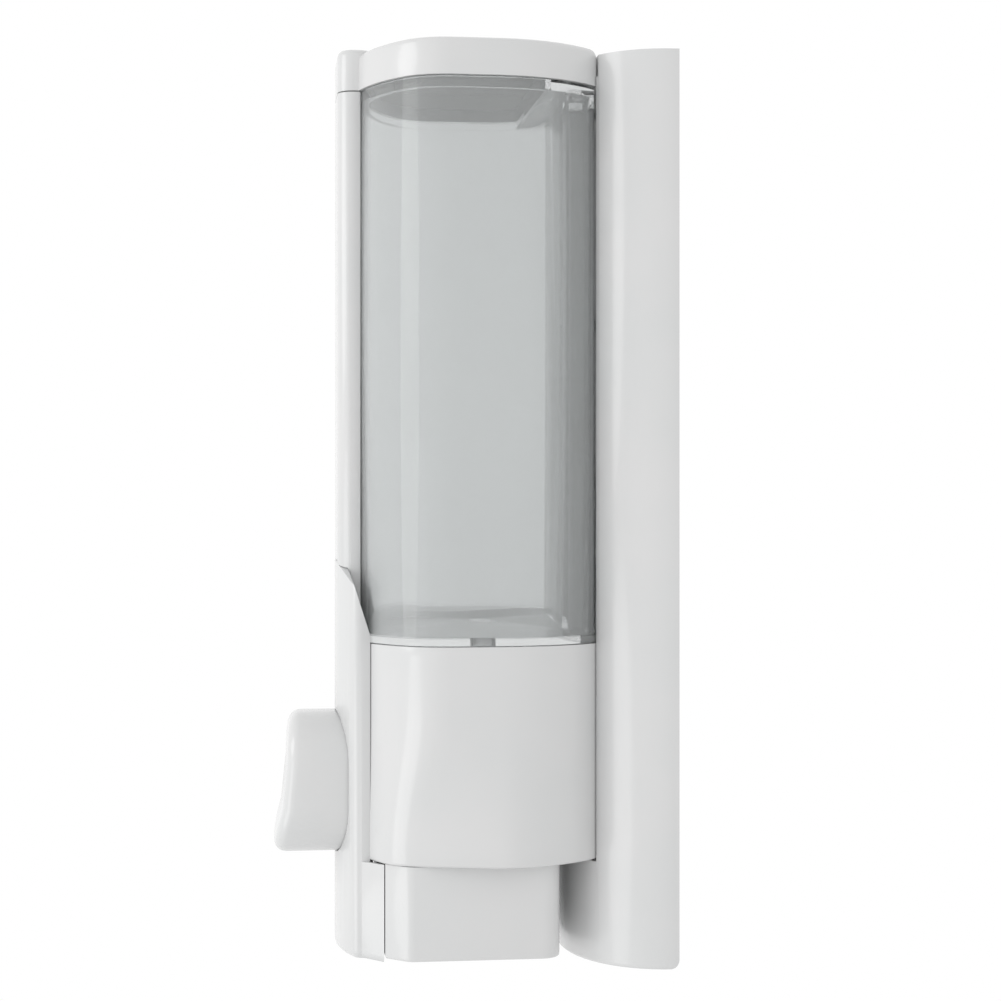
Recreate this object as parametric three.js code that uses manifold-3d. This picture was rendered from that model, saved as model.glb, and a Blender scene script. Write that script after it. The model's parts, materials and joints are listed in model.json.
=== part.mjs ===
// Wall mounted soap dispenser: a wall plate with two hooks, and a body that hangs on it. The body is a
// clear bottle between a front spine and a rear rail, standing on a pump housing with a push button.
// Millimetres, +Z up, the wall is the plane Y = 0 and the button faces -Y. X = 0 is the plane of symmetry.
import * as THREE from "three";
import { mergeVertices } from "three/addons/utils/BufferGeometryUtils.js";
import Module from "manifold-3d";

const wasm = await Module();
wasm.setup();

// ---- driving dimensions ----
const GAP = 0.3; // between pieces that touch
const WALL = 2.3; // moulded walls

// plan of the body: a bowed front, straight flanks and a round rear cut flat
const BODY_HALF = 43.5;
const BODY_REAR = -24;
const FRONT_RADIUS = 56;
const FRONT_CENTRE = -44;
const REAR_CENTRE = -56;

// heights
const SKIRT_BOTTOM = -111;
const SKIRT_TOP = -42.5;
const HOUSING_BOTTOM = -140.7;
const SHIELD_BOTTOM = -142.2;
const BOTTLE_TOP = 133.7;
const LID_BOTTOM = 134.1;
const LID_TOP = 145.8;
const BOSS_TOP = 147.5;

// wall plate
const PLATE_HALF = 43;
const PLATE_DEPTH = 32;
const PLATE_HEIGHT = 287.5;
const PLATE_ROUNDNESS = 2.2; // exponent of the superellipse in plan
const PLATE_FIT = 0.4; // body to plate
const RECESS = BODY_REAR + PLATE_FIT; // front of the plate behind the body
const PLATE_EDGE = 1.2; // round of its lower edge
const PLATE_HEEL = 3.3; // round of its lower end against the wall
const SKIRT_EDGE = 1;
const SHIELD_EDGE = 2.5;
const WEB_HALF = 24;
const WEB_THICK = 3.5;
const RIB_HEIGHTS = [-128, 0, 112];
const PAD_HALF = 20;
const PAD_LENGTH = 80;
const PAD_THICK = 1.2;
const PAD_CENTRES = { upper: 68, lower: -58 };
const WALL_SCREW_HEIGHTS = { upper: 124, lower: -104.5 };
const HOOK_HEIGHTS = [62, -72]; // top of each hook's stalk
const HOOK_WIDTH = 12;
const HOOK_LIP = 8;
const HOOK_STALK = 3;
const HOOK_THICK = 3;
const HOOK_PLAY = 0.6; // from the lip to the wall that hangs on it
const LIFT = 9; // travel that frees the body

// lower housing, under the skirt
const LOWER_HALF = 36.5;
const LOWER_FRONT = -91;
const LOWER_REAR = -36;

// rear rail and front spine
const RAIL_HALF = 16;
const RAIL_DEPTH = WALL + 4.5;
const RAIL_TOP = 128;
const SPINE_HALF = 13.5;
const SPINE_FRONT = -105;
const SPINE_CORNER = 5;

// front shield
const SHIELD_HALF = 23.2;
const SHIELD_FRONT = -105.5;
const SHIELD_RADIUS = 53;
const SHIELD_CORNER = 3.4;
const SHIELD_FLARE = 29.8; // half width where it meets the lower housing
const ARCH_TOP = -16.6;
const ARCH_SHOULDER = -24.5; // height of the arch at the shield's corners
const ARCH_FOOT = -41; // where its edge meets the body

// bottle
const BOTTLE_INSET = 0.8;
const FLANGE_INSET = 0.2;
const FLANGE_HEIGHT = 2.3;
const FLANGE_TOP = SKIRT_TOP + GAP + FLANGE_HEIGHT;
const BOTTLE_FLOOR = FLANGE_TOP;
const DECK_TOP = 133; // shoulder behind the filling mouth
const MOUTH_REAR = -40;
const MOUTH_INSET = 3.4;
const MOUTH_TOP = 138;
const MOUTH_WALL = 1.8;
const NECK_OUTER = 6;
const NECK_INNER = 4;
const NECK_END = -60;

// lid hinge
const HINGE_RADIUS = 3.4;
const HINGE_HALF = 27.5;
const EAR_CENTRE = 21;
const EAR_WIDTH = 4;
const EAR_RADIUS = 3;
const PIN_RADIUS = 0.9;
const PIN_CLEARANCE = 0.1;
const PIN_HALF = 26;
const HINGE = { y: BODY_REAR - HINGE_RADIUS, z: LID_TOP - HINGE_RADIUS };

// button and pump: the pump's axis is parallel to Y at this height
const PUMP_HEIGHT = -88;
const TRAVEL = 10;
const BUTTON_HALF = 18.5;
const BUTTON_HEIGHT = 45;
const BUTTON_CORNER = 15;
const BUTTON_FRONT = -122;
const BUTTON_LIP = 4; // how far the lower lip stands forward of the front
const BUTTON_FLANGE = 1.2;
const BUTTON_FLANGE_THICK = 1.8;
const BUTTON_FIT = 0.5;
// the flange stops against the inside of the shield's bow
const BUTTON_STOP =
  SHIELD_FRONT + SHIELD_RADIUS - Math.sqrt((SHIELD_RADIUS - WALL) ** 2 - (BUTTON_HALF + BUTTON_FLANGE) ** 2);
const BUTTON_REAR = BUTTON_STOP + GAP + BUTTON_FLANGE_THICK;
const BORE_RADIUS = 7.5;
const BORE_WALL = 2.2;
const CYLINDER_OUTER = BORE_RADIUS + BORE_WALL;
const BORE_REAR = -52.4;
const CYLINDER_FRONT = -81;
const VALVE_DEPTH = -58; // Y of the inlet, the outlet and the spout
const ROD_RADIUS = 4;
const ROD_CLEARANCE = 0.1;
const PISTON_REAR = -72;
const PISTON_LENGTH = 6;
const PISTON_RADIUS = 7.1;
const CUP_RADIUS = 7.42;
const CUP_LENGTH = 3;
const COLLAR_FRONT = -113.6;
const COLLAR_RADIUS = 8;
const COLLAR_THICK = 1.7;
const ROD_FRONT = -117;
const CAP_THICK = 2.4;
const SPRING_RADIUS = 6.2;
const SPRING_WIRE = 0.6;
const SPRING_TURNS = 6;
const PUMP_SCREW_X = 17;
const FLANGE_HALF = PUMP_SCREW_X + 4.5;
const SCREW_SHANK = 1.3;
const SCREW_HEAD = 2.8;
const SHIELD_SCREW_X = 16;
const SHIELD_SCREW_Z = -126;
const RAIL_SCREW_DEPTH = BODY_REAR - WALL - 2.5;
const RAIL_SCREW_HEAD = 2.1;

// valves
const BALL_RADIUS = 2.4;
const SEAT_RADIUS = 1.8;
const CHAMBER_RADIUS = 3;
const SOCKET_RADIUS = 8.2;
const SOCKET_FLOOR = -64.4;
const SOCKET_TOP = -47;
const GROMMET_FLOOR = 2;
const CAGE_TOP = -72;
const CAGE_THICK = 2;
const INLET_LIFT = 0.9;
const OUTLET_SEAT = -97;
const OUTLET_LIFT = 1.5;
const SPOUT_TOP = -110.3;
const OUTLET_SOCKET = 4.4;
const OUTLET_END = -118;
const SPOUT_END = -139.6;
const OUTLET_SPRING_RADIUS = 1.9;
const OUTLET_SPRING_WIRE = 0.25;
const OUTLET_SPRING_TURNS = 5;

// ---- materials ----
function plastic(colour, roughness) {
  return new THREE.MeshStandardMaterial({ color: colour, roughness, metalness: 0 });
}
const whiteAbs = plastic(0xeef0f1, 0.25);
const clearSan = new THREE.MeshStandardMaterial({
  color: 0xdde3e6,
  roughness: 0.08,
  metalness: 0,
  transparent: true,
  opacity: 0.35,
});
const acetal = plastic(0xe4e6e4, 0.4);
const silicone = plastic(0xc9cdcf, 0.6);
const foamTape = plastic(0xd8d8d4, 0.9);
const steel = new THREE.MeshStandardMaterial({ color: 0xb9bcc0, roughness: 0.3, metalness: 1 });

// ---- solids ----
function solid(geometry) {
  const bare = geometry.clone();
  bare.deleteAttribute("normal");
  bare.deleteAttribute("uv");
  const merged = mergeVertices(bare, 1e-4);
  return new wasm.Manifold(
    new wasm.Mesh({
      numProp: 3,
      vertProperties: new Float32Array(merged.attributes.position.array),
      triVerts: new Uint32Array(merged.index.array),
    }),
  );
}

const dispenser = new THREE.Group();

function piece(name, body, material) {
  const { vertProperties, triVerts } = body.getMesh();
  const geometry = new THREE.BufferGeometry();
  geometry.setAttribute("position", new THREE.BufferAttribute(vertProperties, 3));
  geometry.setIndex(new THREE.BufferAttribute(triVerts, 1));
  const mesh = new THREE.Mesh(geometry.toNonIndexed(), material);
  mesh.geometry.computeVertexNormals();
  mesh.name = name;
  dispenser.add(mesh);
}

// Extrudes a plan outline from one height to another, with optional rounded top and bottom edges.
function upright(points, low, high, edge = 0) {
  const geometry = new THREE.ExtrudeGeometry(new THREE.Shape(points), {
    depth: high - low - 2 * edge,
    bevelEnabled: edge > 0,
    bevelThickness: edge,
    bevelSize: edge,
    bevelOffset: -edge,
    bevelSegments: 3,
  });
  return solid(geometry.translate(0, 0, low + edge));
}

// Extrudes an outline drawn in X and Z along Y, from one depth to another.
function lengthwise(points, rear, front) {
  const geometry = new THREE.ExtrudeGeometry(new THREE.Shape(points), {
    depth: rear - front,
    bevelEnabled: false,
  });
  return solid(geometry.rotateX(Math.PI / 2).translate(0, rear, 0));
}

// Extrudes an outline drawn in Y and Z along X, centred on X = centre.
function crosswise(points, width, centre = 0) {
  const geometry = new THREE.ExtrudeGeometry(new THREE.Shape(points), {
    depth: width,
    bevelEnabled: false,
  });
  const turned = geometry.translate(0, 0, -width / 2).rotateY(Math.PI / 2).rotateX(Math.PI / 2);
  return solid(turned.translate(centre, 0, 0));
}

function box(x0, x1, y0, y1, z0, z1) {
  const geometry = new THREE.BoxGeometry(x1 - x0, y1 - y0, z1 - z0);
  return solid(geometry.translate((x0 + x1) / 2, (y0 + y1) / 2, (z0 + z1) / 2));
}

// A turned solid about Z, from a closed list of [radius, height] corners.
function turned(corners, segments = 28) {
  const profile = corners.map(([r, h]) => new THREE.Vector2(r, h));
  return solid(new THREE.LatheGeometry([...profile, profile[0]], segments).rotateX(Math.PI / 2));
}

// Lays a solid turned about Z on a line parallel to Y: a height h becomes the depth Y = -h.
function alongY(body, x, z) {
  return body.rotate([90, 0, 0]).translate([x, 0, z]);
}

function rodGeometry(radius, length, segments) {
  return new THREE.CylinderGeometry(radius, radius, length, segments);
}

function uprightRod(radius, x, y, low, high, segments = 28) {
  const geometry = rodGeometry(radius, high - low, segments).rotateX(Math.PI / 2);
  return solid(geometry.translate(x, y, (low + high) / 2));
}

function depthRod(radius, x, z, rear, front, segments = 28) {
  const geometry = rodGeometry(radius, rear - front, segments);
  return solid(geometry.translate(x, (rear + front) / 2, z));
}

function crossRod(radius, y, z, x0, x1, segments = 28) {
  const geometry = rodGeometry(radius, x1 - x0, segments).rotateZ(Math.PI / 2);
  return solid(geometry.translate((x0 + x1) / 2, y, z));
}

// ---- outlines ----
function arc(cx, cy, radius, from, to, steps) {
  const points = [];
  for (let i = 0; i <= steps; i++) {
    const a = from + ((to - from) * i) / steps;
    points.push(new THREE.Vector2(cx + radius * Math.cos(a), cy + radius * Math.sin(a)));
  }
  return points;
}

// A half outline on the +X side, from the front to the rear, closed by its mirror image.
function mirrored(half) {
  const other = half
    .filter((p) => p.x > 1e-6)
    .map((p) => new THREE.Vector2(-p.x, p.y))
    .reverse();
  return [...half, ...other];
}

function roundedRectangle(half, low, high, corner, steps = 5) {
  const turn = Math.PI / 2;
  return [
    ...arc(half - corner, low + corner, corner, -turn, 0, steps),
    ...arc(half - corner, high - corner, corner, 0, turn, steps),
    ...arc(corner - half, high - corner, corner, turn, 2 * turn, steps),
    ...arc(corner - half, low + corner, corner, 2 * turn, 3 * turn, steps),
  ];
}

function bodyOutline(inset) {
  const half = BODY_HALF - inset;
  const front = FRONT_RADIUS - inset;
  const rear = BODY_REAR - inset;
  const corner = Math.asin(half / front);
  const blend = 0.14; // angle over which the front corner is rounded
  const cornerY = FRONT_CENTRE - front * Math.cos(corner);
  const bow = arc(0, FRONT_CENTRE, front, -Math.PI / 2, -Math.PI / 2 + corner - blend, 9);
  const soft = new THREE.QuadraticBezierCurve(
    bow.at(-1),
    new THREE.Vector2(half, cornerY),
    new THREE.Vector2(half, cornerY + front * blend),
  ).getPoints(4);
  const cut = Math.asin((rear - REAR_CENTRE) / half);
  return mirrored([...bow, ...soft.slice(1), ...arc(0, REAR_CENTRE, half, 0, cut, 7)]);
}

function plateOutline(inset, behind = 0) {
  const half = PLATE_HALF - inset;
  const depth = PLATE_DEPTH - inset;
  const steps = 14;
  const side = [];
  for (let i = 0; i <= steps; i++) {
    const a = (i / steps) * (Math.PI / 2);
    const x = half * Math.sin(a) ** (2 / PLATE_ROUNDNESS);
    side.push(new THREE.Vector2(x, -depth * Math.cos(a) ** (2 / PLATE_ROUNDNESS)));
  }
  side.at(-1).y = behind;
  return mirrored(side);
}

function lowerOutline(inset) {
  const half = LOWER_HALF - inset;
  return mirrored([
    new THREE.Vector2(SHIELD_FLARE - inset, LOWER_FRONT + inset),
    ...arc(half - 5, LOWER_FRONT + 9 + inset, 5, -0.7, 0, 3),
    ...arc(half - 6, LOWER_REAR - 6 - inset, 6, 0, Math.PI / 2, 4),
  ]);
}

function shieldOutline(inset, half, rear) {
  const radius = SHIELD_RADIUS - inset;
  const centre = SHIELD_FRONT + SHIELD_RADIUS;
  const corner = SHIELD_CORNER - Math.min(inset, SHIELD_CORNER - 1);
  const edge = SHIELD_HALF - inset;
  const angle = Math.asin((edge - corner) / (radius - corner));
  const cornerY = centre - (radius - corner) * Math.cos(angle);
  return mirrored([
    ...arc(0, centre, radius, -Math.PI / 2, -Math.PI / 2 + angle, 6),
    ...arc(edge - corner, cornerY, corner, -Math.PI / 2 + angle, 0, 4).slice(1),
    new THREE.Vector2(half - inset, rear),
  ]);
}

function spineOutline(inset) {
  return roundedRectangle(SPINE_HALF - inset, SPINE_FRONT + inset, -90, SPINE_CORNER - inset);
}

function buttonOutline(offset) {
  const low = PUMP_HEIGHT - BUTTON_HEIGHT / 2 - offset;
  const high = PUMP_HEIGHT + BUTTON_HEIGHT / 2 + offset;
  return roundedRectangle(BUTTON_HALF + offset, low, high, BUTTON_CORNER + offset, 6);
}

// ---- wall plate ----
const bodyKeepOut = upright(bodyOutline(-PLATE_FIT), SKIRT_BOTTOM - 0.6, PLATE_HEIGHT);

function hook(top) {
  const lip = BODY_REAR - WALL - HOOK_PLAY;
  const tip = lip - HOOK_THICK;
  const low = top - HOOK_STALK;
  return crosswise(
    [
      new THREE.Vector2(RECESS + WALL / 2, low - 2),
      new THREE.Vector2(RECESS + WALL / 2, top),
      new THREE.Vector2(lip, top),
      new THREE.Vector2(lip, top + HOOK_LIP),
      new THREE.Vector2(tip, top + HOOK_LIP),
      new THREE.Vector2(tip, low),
      new THREE.Vector2(RECESS - 0.1, low),
    ],
    HOOK_WIDTH,
  );
}

function wallPlate() {
  const top = PLATE_HEIGHT / 2;
  const shelf = upright(bodyOutline(-PLATE_FIT - WALL), SKIRT_BOTTOM - 0.6 - WALL, PLATE_HEIGHT);
  const hollow = upright(plateOutline(WALL), WALL - top, top - WALL)
    .add(box(-PLATE_HALF + WALL, PLATE_HALF - WALL, -0.1, 5, WALL - top, top - WALL))
    .subtract(shelf);
  let plate = upright(plateOutline(0, PLATE_EDGE * 2), -top, top + PLATE_EDGE, PLATE_EDGE).intersect(
    box(-PLATE_HALF, PLATE_HALF, -PLATE_DEPTH, 0, -top, top),
  );
  // the lid's rear corners swing past the plate's top edge
  const lidRoom = box(-PLATE_HALF, PLATE_HALF, -60, RECESS, HINGE.z - HINGE_RADIUS - 2, top + 1);
  plate = plate.subtract(bodyKeepOut).subtract(hollow).subtract(lidRoom);
  plate = plate.add(box(-WEB_HALF, WEB_HALF, -WEB_THICK, 0, 1 - top, top - 1));
  for (const height of RIB_HEIGHTS) {
    const rib = box(-PLATE_HALF + 1.5, PLATE_HALF - 1.5, RECESS + 1, -WEB_THICK / 2, height, height + 2);
    plate = plate.add(rib.intersect(upright(plateOutline(1), -top, top)));
  }
  for (const stalkTop of HOOK_HEIGHTS) plate = plate.add(hook(stalkTop));
  for (const centre of Object.values(PAD_CENTRES)) {
    const reach = PAD_LENGTH / 2 + GAP;
    const half = PAD_HALF + GAP;
    plate = plate.subtract(box(-half, half, -PAD_THICK - GAP, 1, centre - reach, centre + reach));
  }
  for (const height of Object.values(WALL_SCREW_HEIGHTS)) {
    plate = plate.subtract(depthRod(2.3, 0, height, 1, -WEB_THICK - 1, 20));
    plate = plate.subtract(depthRod(5.2, 0, height, -WEB_THICK - 3, RECESS - 3, 24));
  }
  const heel = box(-60, 60, -PLATE_HEEL, 1, -top - 1, PLATE_HEEL - top).subtract(
    crossRod(PLATE_HEEL, -PLATE_HEEL, PLATE_HEEL - top, -61, 61, 48),
  );
  return plate.subtract(heel);
}
piece("wall_plate", wallPlate(), whiteAbs);

for (const [name, centre] of Object.entries(PAD_CENTRES)) {
  const low = centre - PAD_LENGTH / 2;
  const pad = lengthwise(roundedRectangle(PAD_HALF, low, low + PAD_LENGTH, 3, 3), 0, -PAD_THICK);
  piece(`adhesive_pad_${name}`, pad, foamTape);
}

for (const [name, height] of Object.entries(WALL_SCREW_HEIGHTS)) {
  const seat = WEB_THICK + GAP;
  const screw = turned([
    [0, 0.2],
    [2, 0.2],
    [2, seat],
    [4.2, seat],
    [3.6, seat + 2],
    [1.2, seat + 2],
    [0.9, seat + 1],
    [0, seat + 1],
  ], 20);
  piece(`wall_screw_${name}`, alongY(screw, 0, height), steel);
}

// ---- pump housing: skirt over a narrower lower box ----
function pumpHousing() {
  const deck = SKIRT_TOP - WALL;
  const ledge = SKIRT_BOTTOM + WALL;
  const outer = upright(bodyOutline(0), SKIRT_BOTTOM, SKIRT_TOP + SKIRT_EDGE, SKIRT_EDGE).intersect(
    box(-60, 60, -130, 0, SKIRT_BOTTOM, SKIRT_TOP),
  );
  const lower = upright(lowerOutline(0), HOUSING_BOTTOM, ledge, 1);
  let body = outer.add(lower);
  body = body.subtract(upright(bodyOutline(WALL), ledge, deck));
  body = body.subtract(upright(lowerOutline(WALL), HOUSING_BOTTOM + WALL, ledge + 1));
  // button window, hook slot, bottle neck, spout hole
  const half = BUTTON_HALF + BUTTON_FLANGE + 0.8;
  const reach = BUTTON_HEIGHT / 2 + BUTTON_FLANGE + 0.8;
  const bottom = PUMP_HEIGHT - reach;
  body = body.subtract(box(-half, half, -110, -88, bottom, PUMP_HEIGHT + reach + 4));
  body = body.subtract(hookSlot(HOOK_HEIGHTS[1]));
  body = body.subtract(uprightRod(NECK_OUTER + 0.6, 0, VALVE_DEPTH, deck - 1, SKIRT_TOP + 1));
  body = body.subtract(uprightRod(9, 0, VALVE_DEPTH, HOUSING_BOTTOM - 1, HOUSING_BOTTOM + WALL + 1));
  for (const side of [-1, 1]) {
    const x = side * PUMP_SCREW_X;
    const front = CYLINDER_FRONT + CAP_THICK + GAP;
    body = body.add(depthRod(3.6, x, PUMP_HEIGHT, BODY_REAR - 1, front, 16));
    body = body.subtract(depthRod(1.6, x, PUMP_HEIGHT, front + 11, front - 1, 12));
    const hole = depthRod(1.8, side * SHIELD_SCREW_X, SHIELD_SCREW_Z, LOWER_FRONT + 4, LOWER_FRONT - 4, 12);
    body = body.subtract(hole);
  }
  return body.subtract(uprightRod(1.6, 0, RAIL_SCREW_DEPTH, deck - 1, SKIRT_TOP + 1, 12));
}

// Slot in the body's rear wall: the lifted body lets the hook's lip through it.
function hookSlot(top) {
  const half = HOOK_WIDTH / 2 + 0.6;
  const low = top - HOOK_STALK - LIFT - 1;
  return box(-half, half, BODY_REAR - RAIL_DEPTH + 2, BODY_REAR + 3, low, top + GAP);
}
piece("pump_housing", pumpHousing(), whiteAbs);

// ---- front shield, with the arched top that meets the spine ----
function archPrism(clearance) {
  const half = SHIELD_HALF + 5;
  const rise = ARCH_TOP - ARCH_SHOULDER;
  const points = [];
  const steps = 12;
  for (let i = 0; i <= steps; i++) {
    const x = -half + (2 * half * i) / steps;
    points.push(new THREE.Vector2(x, ARCH_TOP - rise * (x / SHIELD_HALF) ** 2 + clearance));
  }
  const low = HOUSING_BOTTOM - 10;
  points.push(new THREE.Vector2(half, low), new THREE.Vector2(-half, low));
  const front = lengthwise(points, -80, -120);
  const cornerY = SHIELD_FRONT + SHIELD_RADIUS - Math.sqrt(SHIELD_RADIUS ** 2 - SHIELD_HALF ** 2);
  const footY = FRONT_CENTRE - Math.sqrt(FRONT_RADIUS ** 2 - SHIELD_HALF ** 2);
  const slope = (ARCH_FOOT - ARCH_SHOULDER) / (footY - cornerY);
  const flank = crosswise(
    [
      new THREE.Vector2(footY - 30, ARCH_FOOT - 30 * slope + clearance),
      new THREE.Vector2(footY, ARCH_FOOT + clearance),
      new THREE.Vector2(-80, ARCH_FOOT + clearance),
      new THREE.Vector2(-80, low),
      new THREE.Vector2(footY - 30, low),
    ],
    2 * half,
  );
  return front.intersect(flank);
}

function frontShield() {
  const step = SKIRT_BOTTOM - GAP;
  const upper = (inset, low, high) => upright(shieldOutline(inset, SHIELD_HALF, -90), low, high);
  const flared = (inset, low, high) =>
    upright(shieldOutline(inset, SHIELD_FLARE, LOWER_FRONT - GAP), low, high);
  const bodyFit = upright(bodyOutline(-GAP), step, FLANGE_TOP + GAP).add(
    upright(bodyOutline(BOTTLE_INSET - GAP), FLANGE_TOP, 0),
  );
  let shield = upper(0, step, 0).intersect(archPrism(0)).subtract(bodyFit);
  // the foot's outline runs on behind the shield, so that only its front edges are rounded
  const beyond = GAP + SHIELD_EDGE * 2;
  const cornerY = shieldOutline(0, SHIELD_HALF, -90).find((p) => p.x > SHIELD_HALF - 0.01).y;
  const flare = (SHIELD_FLARE - SHIELD_HALF) / (LOWER_FRONT - GAP - cornerY);
  const foot = upright(
    shieldOutline(0, SHIELD_FLARE + flare * beyond, LOWER_FRONT - GAP + beyond),
    SHIELD_BOTTOM,
    step + SHIELD_EDGE,
    SHIELD_EDGE,
  );
  const footTrim = box(-60, 60, -130, LOWER_FRONT - GAP, SHIELD_BOTTOM, step);
  shield = shield.add(foot.intersect(footTrim));
  shield = shield.subtract(upper(WALL, step - 2, ARCH_TOP + 1));
  shield = shield.subtract(flared(WALL, SHIELD_BOTTOM + WALL, step));
  shield = shield.subtract(bodyFit);
  for (const side of [-1, 1]) {
    const x = side * SHIELD_SCREW_X;
    const boss = depthRod(3.4, x, SHIELD_SCREW_Z, LOWER_FRONT - GAP, SHIELD_FRONT + 4, 16);
    const hole = depthRod(1.6, x, SHIELD_SCREW_Z, LOWER_FRONT + 1, LOWER_FRONT - 8, 12);
    shield = shield.add(boss).subtract(hole);
  }
  const low = PUMP_HEIGHT + BUTTON_HEIGHT / 2 + BUTTON_FLANGE + 1.4;
  const behind = FRONT_CENTRE - FRONT_RADIUS + WALL + 3 * GAP; // just behind the skirt's front wall
  const clip = crosswise(
    [
      new THREE.Vector2(SHIELD_FRONT + 1.5, low),
      new THREE.Vector2(SHIELD_FRONT + 1.5, low + 2),
      new THREE.Vector2(behind, low + 2),
      new THREE.Vector2(behind, low + 6),
      new THREE.Vector2(behind + 1.8, low + 6),
      new THREE.Vector2(behind + 1.8, low),
    ],
    12,
  );
  return shield.add(clip).subtract(lengthwise(buttonOutline(BUTTON_FIT), -96, -115));
}
piece("front_shield", frontShield(), whiteAbs);

// ---- front spine and rear rail ----
function frontSpine() {
  const top = LID_BOTTOM - 0.4;
  const low = FLANGE_TOP + GAP;
  const shell = upright(spineOutline(0), low, top)
    .subtract(upright(spineOutline(WALL), low - 1, top - WALL))
    .subtract(archPrism(GAP));
  const tongue = upright(shieldOutline(WALL + GAP, SHIELD_HALF, -90), low, ARCH_TOP + WALL).intersect(
    box(-SPINE_HALF, SPINE_HALF, -120, -90, low, 0),
  );
  return shell.add(tongue).subtract(upright(bodyOutline(BOTTLE_INSET - GAP), low - 1, top + 1));
}
piece("front_spine", frontSpine(), whiteAbs);

function rearRail() {
  const low = SKIRT_TOP + GAP;
  const front = BODY_REAR - RAIL_DEPTH;
  const inner = RAIL_HALF - WALL;
  let rail = box(-RAIL_HALF, RAIL_HALF, front, BODY_REAR - 0.2, low, RAIL_TOP);
  rail = rail.subtract(box(-inner, inner, front - 1, BODY_REAR - 0.2 - WALL, low + WALL, RAIL_TOP + 1));
  rail = rail.subtract(hookSlot(HOOK_HEIGHTS[0]));
  return rail.subtract(uprightRod(1.8, 0, RAIL_SCREW_DEPTH, low - 1, low + WALL + 1, 12));
}
piece("rear_rail", rearRail(), whiteAbs);

// ---- bottle ----
function bottle() {
  const low = SKIRT_TOP + GAP;
  const inset = BOTTLE_INSET;
  const railRoom = RAIL_HALF + GAP;
  const railDepth = BODY_REAR - RAIL_DEPTH - GAP;
  let body = upright(bodyOutline(inset), low, BOTTLE_TOP);
  body = body.add(upright(bodyOutline(FLANGE_INSET), low, low + FLANGE_HEIGHT));
  const mouth = upright(bodyOutline(MOUTH_INSET), DECK_TOP - 1, MOUTH_TOP);
  const rearShoulder = box(-60, 60, MOUTH_REAR, 0, DECK_TOP, MOUTH_TOP + 1);
  body = body.add(mouth).subtract(rearShoulder);
  const opening = upright(bodyOutline(MOUTH_INSET + MOUTH_WALL), DECK_TOP - 4, MOUTH_TOP + 1).intersect(
    box(-60, 60, -120, MOUTH_REAR - MOUTH_WALL, 0, 200),
  );
  const railRib = box(-railRoom - WALL, railRoom + WALL, railDepth - WALL, 0, low - 1, RAIL_TOP + GAP + WALL);
  const inside = upright(bodyOutline(inset + WALL), BOTTLE_FLOOR, DECK_TOP - WALL).subtract(railRib);
  body = body.subtract(inside).subtract(opening);
  body = body.subtract(box(-railRoom, railRoom, railDepth, 0, low - 1, RAIL_TOP + GAP));
  // neck, through the floor
  body = body.add(uprightRod(NECK_OUTER, 0, VALVE_DEPTH, NECK_END, BOTTLE_FLOOR - 1));
  body = body.subtract(uprightRod(NECK_INNER, 0, VALVE_DEPTH, NECK_END - 1, BOTTLE_FLOOR + 1));
  for (const side of [-1, 1]) {
    const ear = crosswise(
      [
        ...arc(HINGE.y, HINGE.z, EAR_RADIUS, 0, Math.PI, 10),
        new THREE.Vector2(HINGE.y - EAR_RADIUS, DECK_TOP - 0.5),
        new THREE.Vector2(HINGE.y + EAR_RADIUS - 0.2, DECK_TOP - 0.5),
      ],
      EAR_WIDTH,
      side * EAR_CENTRE,
    );
    body = body.add(ear);
  }
  return body.subtract(hingeBore(60));
}

// ---- lid ----
function lid() {
  const outline = upright(bodyOutline(0), LID_BOTTOM - 4, LID_TOP, 1.8);
  // the rear corners are round above the hinge axis, so that they clear the plate as the lid turns
  const trim = box(-60, 60, -130, HINGE.y, LID_BOTTOM, 200)
    .add(crossRod(HINGE_RADIUS, HINGE.y, HINGE.z, -60, 60, 32))
    .add(box(HINGE_HALF, 60, -60, BODY_REAR + 1, LID_BOTTOM, HINGE.z))
    .add(box(-60, -HINGE_HALF, -60, BODY_REAR + 1, LID_BOTTOM, HINGE.z));
  let cover = outline.intersect(trim);
  const bossRear = -93;
  const boss = upright(
    roundedRectangle(SPINE_HALF, SPINE_FRONT, bossRear, SPINE_CORNER),
    LID_BOTTOM - 4,
    BOSS_TOP,
    2,
  ).intersect(trim);
  cover = cover.add(boss);
  const hollow = upright(bodyOutline(WALL), LID_BOTTOM - 1, LID_TOP - WALL);
  const bossHollow = upright(spineOutline(WALL), LID_BOTTOM - 1, BOSS_TOP - WALL - 1).intersect(
    box(-60, 60, -130, -98.5, 0, 200),
  );
  cover = cover.subtract(hollow).subtract(bossHollow);
  cover = cover.add(crossRod(HINGE_RADIUS, HINGE.y, HINGE.z, -HINGE_HALF, HINGE_HALF, 32));
  for (const side of [-1, 1]) {
    const x = side * EAR_CENTRE;
    const half = EAR_WIDTH / 2 + 0.4;
    cover = cover.subtract(crossRod(HINGE_RADIUS + 0.3, HINGE.y, HINGE.z, x - half, x + half, 32));
  }
  // the pin goes in from the -X side, and the bore is blind on the other
  return cover.subtract(hingeBore(PIN_HALF + GAP));
}

function hingeBore(end) {
  return crossRod(PIN_RADIUS + PIN_CLEARANCE, HINGE.y, HINGE.z, -60, end, 20);
}
piece("bottle", bottle(), clearSan);
piece("lid", lid(), whiteAbs);
piece("lid_hinge_pin", crossRod(PIN_RADIUS, HINGE.y, HINGE.z, -PIN_HALF, PIN_HALF, 20), steel);

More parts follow.
